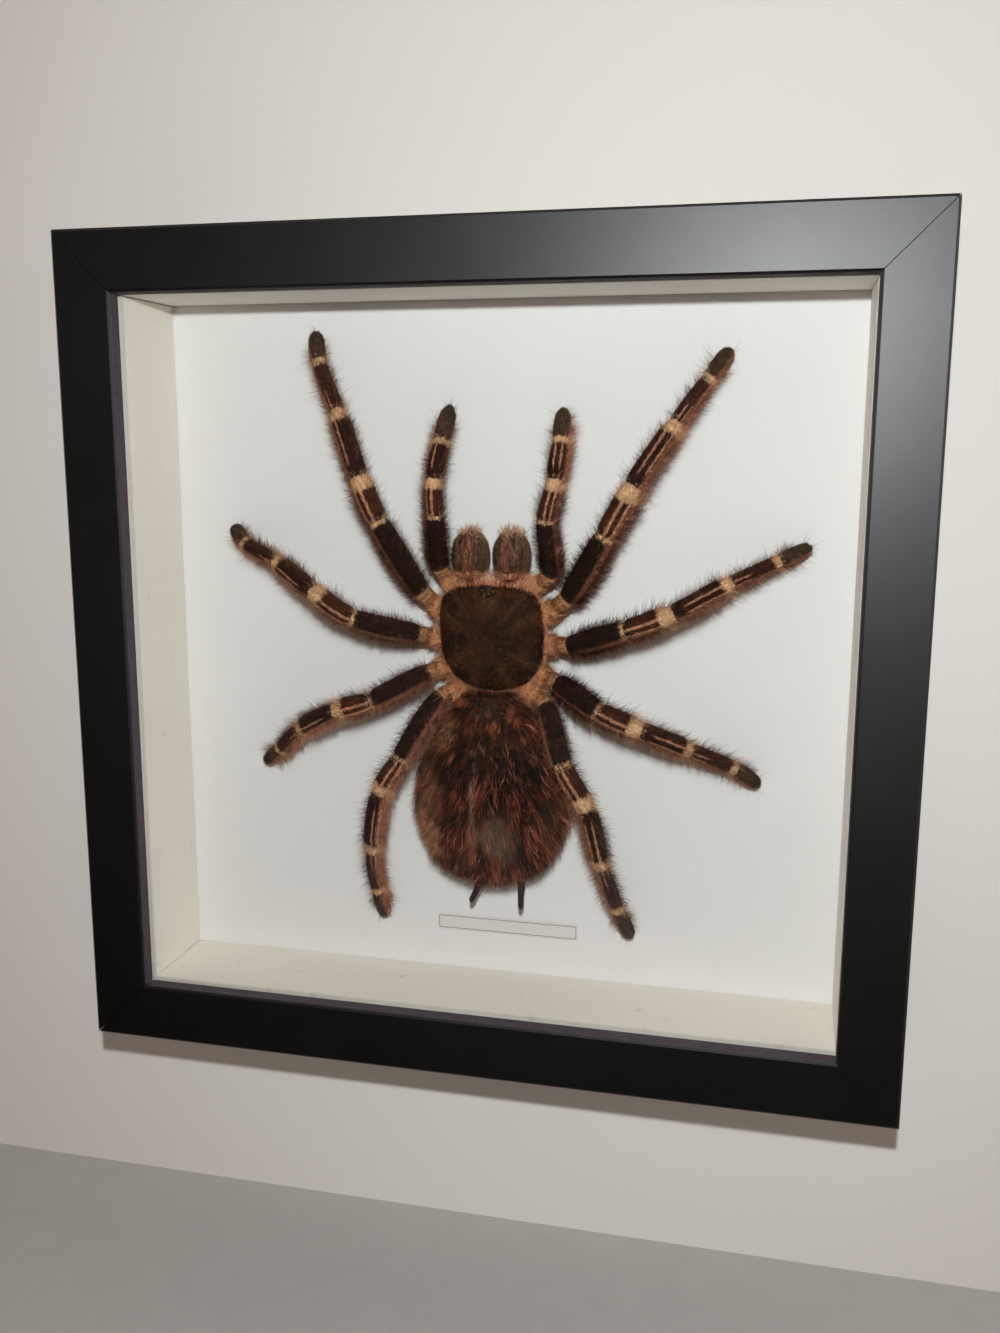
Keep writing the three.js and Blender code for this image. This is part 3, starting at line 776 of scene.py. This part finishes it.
COXA_FORM = [(0, 1.1), (1, 1.1), (1.6, 0.95), (1.95, 1.0), (2, 0.6)]
LEG_COXA_RADIUS = 3.4
PALP_COXA_RADIUS = 2.8
for name, (_, hip, *joints) in {**LEGS, **PALPS}.items():
    is_leg = name in LEGS
    places = limb_joints(hip, *joints, LEG_HEIGHTS if is_leg else PALP_HEIGHTS)
    ahead = unit(smooth_line(places, np.array([0.01])) - smooth_line(places, np.array([0.0])))[0]
    inner_x = midline(hip[1]) + (hip[0] - BODY_X) * 0.35
    inner = np.array([inner_x, -7.5, BODY_Z + (hip[1] - BODY_Z) * 0.5])
    course = np.array([inner, places[0] - 3 * ahead, places[0] - 0.3 * ahead])
    radius = LEG_COXA_RADIUS if is_leg else PALP_COXA_RADIUS
    coat = limb_coat(course, COXA_FORM, radius, 0.35, 0, 18, 16)
    coat.grow(3000, (0.7, 1.6), 0.16, (10, 40), stray=0.5, lock=8)
    coat.grow(1900, (1.6, 4.4), 0.13, (10, 65), -20, 0.8, fringe=0.95, lock=4)
    coat.make("coxa_" + name, tan_hair, "velvet", "cephalothorax")


# ---- The eyes ----
# Eight glossy dark beads, close together on a low mound near the shield's front edge. The mound has
# the shield's own velvet, and fine bristles between the beads.

EYE_MOUND = (midline(20.4), 17.4, 21.0)  # across, above the card and ahead
MOUND_SIZE = (2.9, 1.7, 1.8)
# Each eye's place from the mound's middle, across and ahead, and its radius.
EYES = [(-0.9, 0.5, 0.55), (0.9, 0.5, 0.55), (-2.1, 0.9, 0.48), (2.1, 0.9, 0.48)]
EYES += [(-1.5, -0.5, 0.36), (1.5, -0.5, 0.36), (-2.3, -0.5, 0.42), (2.3, -0.5, 0.42)]

bead, start = finish("eye_bead")
haze = start.place().noise(900, 2)
shine(
    start,
    Base_Color=haze.tint(ink(8, 6, 6), ink(38, 24, 18)),
    Roughness=0.08 + 0.1 * haze,
    Coat_Weight=0.6,
)


def ball(centre, size, rows=7, sides=12):
    """A closed ball as points and triangles. size is its half width, depth and height."""
    tilt = np.linspace(0, math.pi, rows + 2)[1:-1][:, None]
    turn = np.linspace(0, math.tau, sides, endpoint=False)[None]
    ring = np.stack(
        [np.sin(tilt) * np.cos(turn), -np.cos(tilt) + 0 * turn, np.sin(tilt) * np.sin(turn)], -1
    )
    size = np.asarray(size, float)
    centre = np.asarray(centre, float)
    return wrapped(centre + ring * size, centre - [0, size[1], 0], centre + [0, size[1], 0])


mound_x, mound_height, mound_z = EYE_MOUND
wide, high, long = MOUND_SIZE
points, triangles = ball((mound_x, -mound_height, mound_z), MOUND_SIZE, 9, 20)
none = np.zeros(len(points))
marks = {"rim": none + 0.5, "ray": none, "belly": none}
mound = Coat(points, triangles, (0.0, 0.0, -1.0), marks)
mound.grow(700, (0.4, 0.9), 0.1, (15, 60), stray=0.8)
mound.grow(120, (0.8, 1.6), 0.08, (40, 80), -20, 1.0, fringe=0.9)
mound.make("eye_mound", velvet, "velvet", "cephalothorax")
for number, (x, z, radius) in enumerate(EYES, 1):
    height = mound_height + high * math.sqrt(max(1 - (x / wide) ** 2 - (z / long) ** 2, 0.05))
    points, triangles = ball((mound_x + x, -height, mound_z + z), (radius, radius * 0.8, radius))
    eye = Coat(points, triangles, (0.0, 0.0, 1.0), {})
    eye.make(f"eye_{number}", bead, "velvet", "cephalothorax")


# ---- The chelicerae ----
# Two plump jaws, grey-brown with pinkish streaks, whose orange-red bristles stand over the shield's
# front edge and whose pinkish hairs run past their tips. A dark fang is folded back under each.

CHELICERA_REAR = 24
CHELICERA_FRONT = 38.2
CHELICERA_OFFSET = 6.4
CHELICERA_HEIGHT = 10.6
CHELICERA_HALF_WIDTH = 5.8
CHELICERA_HALF_HEIGHT = 7.2
# Shares of the length from the rear, and of the half width and height.
CHELICERA_FORM = [
    (0.0, 0.60), (0.2, 0.86), (0.36, 0.96), (0.48, 0.985), (0.60, 0.97), (0.72, 0.91), (0.82, 0.80),
    (0.9, 0.66), (0.96, 0.45), (0.995, 0.2),
]

jaw_hair, start = finish("chelicera_hair")
along, around = map(start.mark, ("along", "around"))
tip, grain, fringe = map(start.mark, ("tip", "grain", "fringe"))
lie = start.node("ShaderNodeCombineXYZ", None, {0: along * 1.2, 1: around * 0.06, 2: 0.0})
lay = start.node("ShaderNodeCombineXYZ", None, {0: along * 4, 1: around * 0.3, 2: grain}).noise(3, 3, 0.7)
streak = lie.noise(2.6, 4, 0.7)
fur = streak.rise(0.42, 0.60).tint(ink(40, 23, 15), ink(136, 98, 72))
astray = around + 70 * (lay - 0.5) + 20 * (grain - 0.5)
pink = (astray.band(-14, 2, 9) * 0.55).tint(fur, ink(160, 80, 58))
sided = (abs(astray).rise(45, 85) * 0.8).tint(pink, ink(156, 120, 90))
based = (along + 0.3 * lay).rise(0.40, 0.16).tint(sided, ink(176, 80, 44))
# Painted shade: each hair darkens towards its root and the skin under the pile is darkest, times a random
# tone per hair.
depth = (0.40 + 0.60 * tip.rise(0.0, 0.75)) * (0.45 + 1.1 * grain)
rooted = along.rise(0.3, 0.6).tint(ink(132, 42, 20), ink(118, 78, 54))
bristle = (grain * 0.5 + tip * 0.7 - 0.1).tint(rooted, ink(244, 196, 158))
shine(
    start,
    Base_Color=fringe.tint(based.dim(depth), bristle),
    Roughness=0.6 + 0.2 * lay,
    Specular_IOR_Level=0.15,
    Normal=lay.bump(0.6, 0.0005),
)

fang_horn, start = finish("fang_horn")
horn = start.place().noise(600, 3)
shine(start, Base_Color=horn.tint(ink(14, 8, 7), ink(58, 20, 14)), Roughness=0.18 + 0.12 * horn)

for name, sign in (("left", -1), ("right", 1)):
    middle = midline(CHELICERA_REAR) + sign * CHELICERA_OFFSET
    fine = np.linspace(0, 0.995, 40)
    share = np.interp(fine, *np.array(CHELICERA_FORM).T)
    turn = np.linspace(0, math.tau, 40, endpoint=False)
    z = CHELICERA_REAR + (CHELICERA_FRONT - CHELICERA_REAR) * fine
    wide = CHELICERA_HALF_WIDTH * share
    high = CHELICERA_HALF_HEIGHT * share
    rings = np.stack(
        [
            middle + wide[:, None] * np.sin(turn),
            -(CHELICERA_HEIGHT + high[:, None] * np.cos(turn)),
            z[:, None] + 0 * turn,
        ],
        -1,
    )
    poles = [[middle, -CHELICERA_HEIGHT, z] for z in (CHELICERA_REAR, CHELICERA_FRONT)]
    points, triangles = wrapped(rings, *poles)
    degrees = np.degrees((turn + math.pi) % math.tau - math.pi)
    marks = {
        "along": np.concatenate([np.repeat(fine, len(turn)), [0, 1]]),
        "around": np.concatenate([np.tile(degrees * sign, len(fine)), [0, 0]]),
    }
    coat = Coat(points, triangles, (0.0, 0.0, 1.0), marks)
    front_end = np.clip((marks["along"] - 0.86) * 9, 0.01, 1)
    rear_end = np.clip((0.16 - marks["along"]) * 12, 0, 1)
    coat.grow(10000, (0.8, 2.0), 0.16, (8, 28), stray=0.3, lock=9, pull=0.55)
    coat.grow(300, (2.4, 6.0), 0.14, (12, 70), -25, 0.6, front_end, 0.95, 3, 0.4)
    coat.grow(800, (2.2, 4.6), 0.17, (12, 50), 10, 0.35, rear_end, 0.95, 4, 0.35)
    coat.make("coat_chelicera_" + name, jaw_hair, "chelicera_hair", "chelicera_" + name)
    bends = [(6, 3), (2.6, 3.2), (1.5, 9)]  # above the card, and behind the jaw's tip
    course = np.array([[middle, -above, CHELICERA_FRONT - back] for above, back in bends])
    fang = limb_coat(course, [(0, 1.3), (1, 1.1), (1.9, 0.45), (2, 0.2)], 1, 0.05, 0, 14, 16)
    fang.make("fang_" + name, fang_horn, "chelicera_hair", "chelicera_" + name)


# ---- The abdomen ----
# A soft bag that has sagged and dried, with a ragged crease, a fold at its rear and a worn grey patch
# between them. Its front is matted; from there long locks, from nearly black to orange-red, are swept
# back over it and stand out all round.

ABDOMEN_FRONT = -11.4
ABDOMEN_BACK = -71.4
ABDOMEN_EQUATOR = 11
ABDOMEN_TOP = 25
ABDOMEN_BELLY = 0.5
ABDOMEN_SHIFT = 1.7  # of its stalk to the left of the midline
ABDOMEN_BEND = 2.4  # of its rear, further to the left
CREASE_X = -2.5
# Shares of the length from the stalk, and half widths.
ABDOMEN_FORM = [
    (0.0, 6.8), (0.06, 12.2), (0.14, 16.6), (0.26, 20.4), (0.38, 22.8), (0.5, 23.7), (0.62, 24.3),
    (0.74, 22.3), (0.86, 19.0), (0.95, 13.0), (0.99, 6.5), (0.998, 2.5),
]
ABDOMEN_WIDEST = 24.3
ABDOMEN_INSET = 0.9  # of the skin below the pile's tips

fine = np.linspace(0, 0.998, 110)
half_width = np.interp(fine, *np.array(ABDOMEN_FORM).T)
half_width = np.convolve(np.pad(half_width, 4, "edge"), np.ones(9) / 9, "valid") - ABDOMEN_INSET
turn = np.linspace(0, math.tau, 90, endpoint=False)
z = (ABDOMEN_FRONT - 0.6) + (ABDOMEN_BACK + 1.2 - ABDOMEN_FRONT) * fine
up = np.cos(turn)[None] * half_width[:, None]
lift = np.where(up > 0, ABDOMEN_TOP - 1.2 - ABDOMEN_EQUATOR, ABDOMEN_EQUATOR - ABDOMEN_BELLY)
height = ABDOMEN_EQUATOR + lift * up / ABDOMEN_WIDEST
middle = midline(z) - ABDOMEN_SHIFT - ABDOMEN_BEND * fine**2
x = middle[:, None] + np.sin(turn)[None] * half_width[:, None]
z = z[:, None] + 0 * x
crease_x = CREASE_X + 1.0 * np.sin(z * 0.31 + 1.0) + 0.5 * np.sin(z * 1.07)
crease = 1.6 * np.exp(-((x - crease_x) ** 2))
crease = crease * np.clip((-26 - z) / 4, 0, 1) * np.clip((z + 60) / 4, 0, 1)
fold = 1.6 * np.exp(-(((x + 1.5 - (z + 58) * -0.55) / 1.1) ** 2)) * np.exp(-(((z + 60) / 5) ** 2))
lumps = 0.5 * np.sin(x * 0.55 + 1.3) * np.sin(z * 0.42) + 0.35 * np.sin(x * 0.95 - z * 0.6)
lumps = lumps + 0.22 * np.sin(x * 2.1 + z * 1.3) * np.sin(z * 1.7 - x * 0.8)
height = height + np.clip(np.cos(turn)[None] * 3, 0, 1) * (lumps - crease - fold)
rings = np.stack([x, -height, z], -1)
points, triangles = wrapped(
    rings,
    [midline(ABDOMEN_FRONT) - ABDOMEN_SHIFT, -ABDOMEN_EQUATOR, ABDOMEN_FRONT - 0.6],
    [rings[-1, :, 0].mean(), -ABDOMEN_EQUATOR, ABDOMEN_BACK + 0.5],
)
axis = np.stack([midline(points[:, 2]) - 3.0, np.full(len(points), -9.0), points[:, 2]], 1)
swept = unit(unit(points - axis) * [0.6, 0.3, 0] + [0, 0, -1.0])

abdomen_hair, start = finish("abdomen_hair")
spot = start.place()
x, _, z = spot.split()
x_mm = x * 1000
z_mm = (z - MIDDLE_Z) * 1000
tip, grain, fringe = map(start.mark, ("tip", "grain", "fringe"))
ragged = spot.noise(330, 5, 0.75) - 0.5 + 0.5 * (grain - 0.5)


def blot(at_x, at_z, wide, high):
    """A ragged blot on the abdomen, from its middle and its half width and height in mm."""
    across = (x_mm - at_x) / wide
    along = (z_mm - at_z) / high
    return (across * across + along * along + 4.2 * ragged).rise(1.5, 0.3)


mats = spot.stretched(1, 1, 0.25).noise(460, 4, 0.7)
fur = mats.ramp(
    (0.34, (30, 17, 11)),
    (0.48, (62, 34, 21)),
    (0.60, (94, 50, 31)),
    (0.70, (140, 84, 58)),
    (0.82, (180, 130, 100)),
)
strand = grain.ramp(
    (0.20, (16, 8, 5)),
    (0.50, (38, 18, 11)),
    (0.66, (74, 30, 18)),
    (0.80, (134, 58, 36)),
    (0.98, (196, 124, 92)),
)
hair = fringe.tint(fur, strand)
# The hairs of the outline have a fringe mark above 1, and are the palest.
hair = (fringe.rise(1.0, 1.25) * (0.35 + 0.65 * grain)).tint(hair, ink(214, 150, 120))
# Where the fur is of another tone: each blot's middle, its size, its strength and its ink.
BLOTS = [
    ((0, -15), (7, 4), 0.75, (58, 46, 34)),
    ((-9.0, -14.2), (2.6, 1.1), grain * 1.4, (240, 132, 80)),
    ((7.6, -16.6), (1.1, 2.4), grain * 1.2, (222, 124, 90)),
    ((9.8, -18.8), (1.0, 1.6), grain, (206, 96, 60)),
    ((-15, -23), (6, 8), grain * 1.1, (176, 124, 86)),
    ((-18, -42), (7, 12), grain * 0.7, (168, 122, 90)),
    ((5.0, -55), (5.5, 7), 0.65, (176, 142, 118)),
    ((-2.5, -55), (2, 7), 0.5, (196, 120, 88)),
    ((21, -44), (3, 12), 0.6, (60, 54, 38)),
    ((-19, -57), (6, 9), grain * 1.3, (210, 152, 114)),
]
for middle, size, strength, colour in BLOTS:
    hair = (blot(*middle, *size) * strength).tint(hair, ink(*colour))
crease_line = x_mm - CREASE_X - 1.0 * (z_mm * 0.31 + 1.0).sum("SINE") + 6 * ragged
hair = (abs(crease_line).rise(0.9, 0.2) * z_mm.band(-56, -27, 2) * 0.5).tint(hair, ink(150, 130, 104))
# Where the fur is darker: each blot's place, size and strength. The narrow one in the rear fold is painted
# shade.
DARK_BLOTS = [
    (-8, -33, 9, 7, 1.0), (10, -36, 13, 9, 1.0), (0.5, -60, 2.5, 5, 1.0),
    (-9, -46, 3, 5, 0.7), (10, -46, 12, 16, 0.6),
]
dark = strongest([blot(*place) * strength for *place, strength in DARK_BLOTS])
# Painted shade: each hair darkens towards its root and the skin under the fur is darkest, times a random
# tone per hair, and darker still in the blots above.
depth = (0.28 + 0.72 * tip.rise(0.0, 0.7)) * (0.3 + 1.15 * grain) * (1 - 0.8 * dark)
shine(
    start,
    Base_Color=hair.dim(depth),
    Roughness=0.6 + 0.2 * mats,
    Specular_IOR_Level=0.06,
    Normal=mats.bump(0.6, 0.0006),
)

coat = Coat(points, triangles, swept, {})
shown = np.clip(coat.normals[:, 1] * -1.5 + 1.0, 0.12, 1)
rear = np.clip((-24 - points[:, 2]) / 12, 0.05, 1)
worn = 1 - 0.85 * np.exp(-(((points[:, 0] - 5.0) / 4.5) ** 2) - ((points[:, 2] + 55) / 5.5) ** 2)
level = np.exp(-((coat.normals[:, 1] / 0.45) ** 2))
coat.grow(52000, (1.0, 2.4), 0.17, (10, 45), stray=0.8, where=shown, lock=12, pull=0.6)
coat.grow(17000, (2.8, 5.6), 0.14, (10, 34), -20, 0.24, shown * worn * (0.2 + rear), 0.8, 7, 0.5)
coat.grow(11000, (4.5, 9.0), 0.12, (12, 42), -30, 0.2, shown * worn * rear, 0.9, 5, 0.45)
coat.grow(4600, (3.0, 6.6), 0.14, (20, 80), -25, 0.5, level * (0.3 + rear), 1.3, 4, 0.3)
shoulder = level * np.clip((points[:, 2] + 26) / 8, 0, 1)
coat.grow(3200, (3.0, 5.6), 0.14, (0, 50), -15, 0.6, shoulder, 0.5, 4, 0.35)
coat.make("coat_abdomen", abdomen_hair, "abdomen_hair", "abdomen")


# ---- The spinnerets ----
# Two long fingers that stand out from the abdomen's rear, each a tube with one joint. Their hair is
# short, lies close and is nearly black.

# Each one's root and tip, beside, in front of and above the middle of the card's face.
SPINNERETS = {
    "left": ((-0.4, -12.5, -67), (-5.8, -13.0, -79)),
    "right": ((10.6, -12.5, -64), (10.5, -13.0, -80)),
}
SPINNERET_FORM = [(0, 1.5), (1.1, 1.35), (1.2, 1.15), (1.85, 1.0), (1.97, 0.6), (2, 0.3)]

black_hair, start = finish("spinneret_hair")
spot = start.place()
grain = start.mark("grain")
nap = spot.noise(1800, 3)
shine(
    start,
    Base_Color=(nap * 0.5 + grain * 0.5).tint(ink(9, 6, 4), ink(40, 27, 19)),
    Roughness=0.5 + 0.25 * nap,
    Specular_IOR_Level=0.2,
    Normal=nap.bump(0.5, 0.0002),
)
for name, (root, end) in SPINNERETS.items():
    course = np.array([root, np.add(root, end) / 2, end])
    coat = limb_coat(course, SPINNERET_FORM, 1, 0.15, 0, 14, 16)
    coat.grow(1500, (0.4, 0.9), 0.1, (10, 40))
    coat.make("coat_spinneret_" + name, black_hair, "spinneret_hair", "spinneret_" + name)


# ---- The room ----
# A pale wall that the case hangs on and a pale floor below it. Neither is part of the object, and
# the wall shows only from its front and is open behind the case, so that the case's back can be
# seen and lit.

FLOOR_Z = case_low.z - 0.078


def sheet_of(name, corners, faces, material, mirrored):
    mesh = bpy.data.meshes.new(name)
    mesh.from_pydata(corners, [], faces)
    mesh.materials.append(material)
    made = bpy.data.objects.new(name, mesh)
    made.visible_glossy = mirrored
    bpy.context.scene.collection.objects.link(made)


wall_paint, start = finish("wall_paint")
spot = start.place()
plaster = spot.noise(220, 5, 0.6)
face = start.node(
    "ShaderNodeBsdfPrincipled",
    None,
    {
        "Base Color": spot.noise(3, 3).tint(ink(230, 228, 221), ink(222, 219, 212)),
        "Roughness": 0.9,
        "Normal": plaster.bump(0.12, 0.0008),
    },
)
behind = start.node("ShaderNodeNewGeometry", output=6)
unseen = start.node("ShaderNodeBsdfTransparent")
one_way = start.node("ShaderNodeMixShader", None, {0: behind, 1: face, 2: unseen})
start.node("ShaderNodeOutputMaterial", None, {"Surface": one_way})
hidden = FRAME_SIZE / 2 - 0.001
outer = [(-3, FLOOR_Z), (3, FLOOR_Z), (3, 3), (-3, 3)]
opening = [(sx * hidden, MIDDLE_Z + sz * hidden) for sx, sz in ((-1, -1), (1, -1), (1, 1), (-1, 1))]
corners = [(x, 0.0006, z) for x, z in outer + opening]
sheet_of("wall", corners, [(k, (k + 1) % 4, (k + 1) % 4 + 4, k + 4) for k in range(4)], wall_paint, True)

floor_paint, start = finish("floor_paint")
grit = start.place().noise(90, 4)
shine(start, Base_Color=grit.tint(ink(176, 174, 170), ink(188, 186, 181)), Roughness=0.8)
corners = [(-3, -4, FLOOR_Z), (3, -4, FLOOR_Z), (3, 4, FLOOR_Z), (-3, 4, FLOOR_Z)]
sheet_of("floor", corners, [(0, 1, 2, 3)], floor_paint, False)


# ---- The light and the camera ----
# One small white lamp just above the camera gives the crisp shadows and the sheen on the moulding's
# upper right corner. A dim warm room fills them. Two dim lamps light the case's sides, and one behind
# the wall shows the back.


def lamp(name, place, target, width, power, colour):
    data = bpy.data.lights.new(name, "AREA")
    data.shape = "DISK"
    data.size = width
    data.energy = power
    data.color = colour
    data.cycles.use_multiple_importance_sampling = False
    made = bpy.data.objects.new(name, data)
    made.location = place
    made.rotation_euler = (Vector(target) - Vector(place)).to_track_quat("-Z", "Y").to_euler()
    bpy.context.scene.collection.objects.link(made)


case_middle = (0, -0.02, MIDDLE_Z)
lamp("key", (0.088, -0.395, 0.013), case_middle, 0.013, 1.54, (0.97, 1.0, 1.02))
lamp("back", (-0.6, 0.9, 0.5), case_middle, 0.5, 12, (1.0, 0.98, 0.95))
lamp("left", (-1.5, -0.25, 0.1), case_middle, 0.6, 3, (1.0, 0.98, 0.95))
lamp("right", (1.5, -0.25, 0.1), case_middle, 0.6, 3, (1.0, 0.98, 0.95))

world = bpy.data.worlds.new("room")
world.use_nodes = True
world.node_tree.nodes.clear()
start = Shade(world.node_tree)
seen = start.node("ShaderNodeLightPath", output=0)
glow = seen.tint((0.12, 0.056, 0.034, 1), ink(196, 194, 190))
room = start.node("ShaderNodeBackground", None, {"Color": glow})
start.node("ShaderNodeOutputWorld", None, {"Surface": room})
world.cycles_visibility.glossy = False
world.cycles.sampling_method = "NONE"
bpy.context.scene.world = world

CAMERA_PLACE = (0.0871, -0.3767, MIDDLE_Z + 0.0649)
CAMERA_RIGHT = Vector((0.9736, 0.2283, 0.0031))
CAMERA_DOWN = Vector((0.0442, -0.1752, -0.9836))
CAMERA_AHEAD = Vector((-0.224, 0.9577, -0.1807))
FOCAL_PIXELS = 1224.17
PICTURE_HEIGHT = 1333

view = bpy.data.cameras.new("camera")
view.sensor_fit = "VERTICAL"
view.sensor_height = 36
view.lens = 36 * FOCAL_PIXELS / PICTURE_HEIGHT
view.clip_start = 0.01
camera = bpy.data.objects.new("camera", view)
turned = Matrix((CAMERA_RIGHT, -CAMERA_DOWN, -CAMERA_AHEAD)).transposed().to_4x4()
camera.matrix_world = Matrix.Translation(CAMERA_PLACE) @ turned
bpy.context.scene.collection.objects.link(camera)
bpy.context.scene.camera = camera
bpy.context.scene.view_settings.view_transform = "Standard"
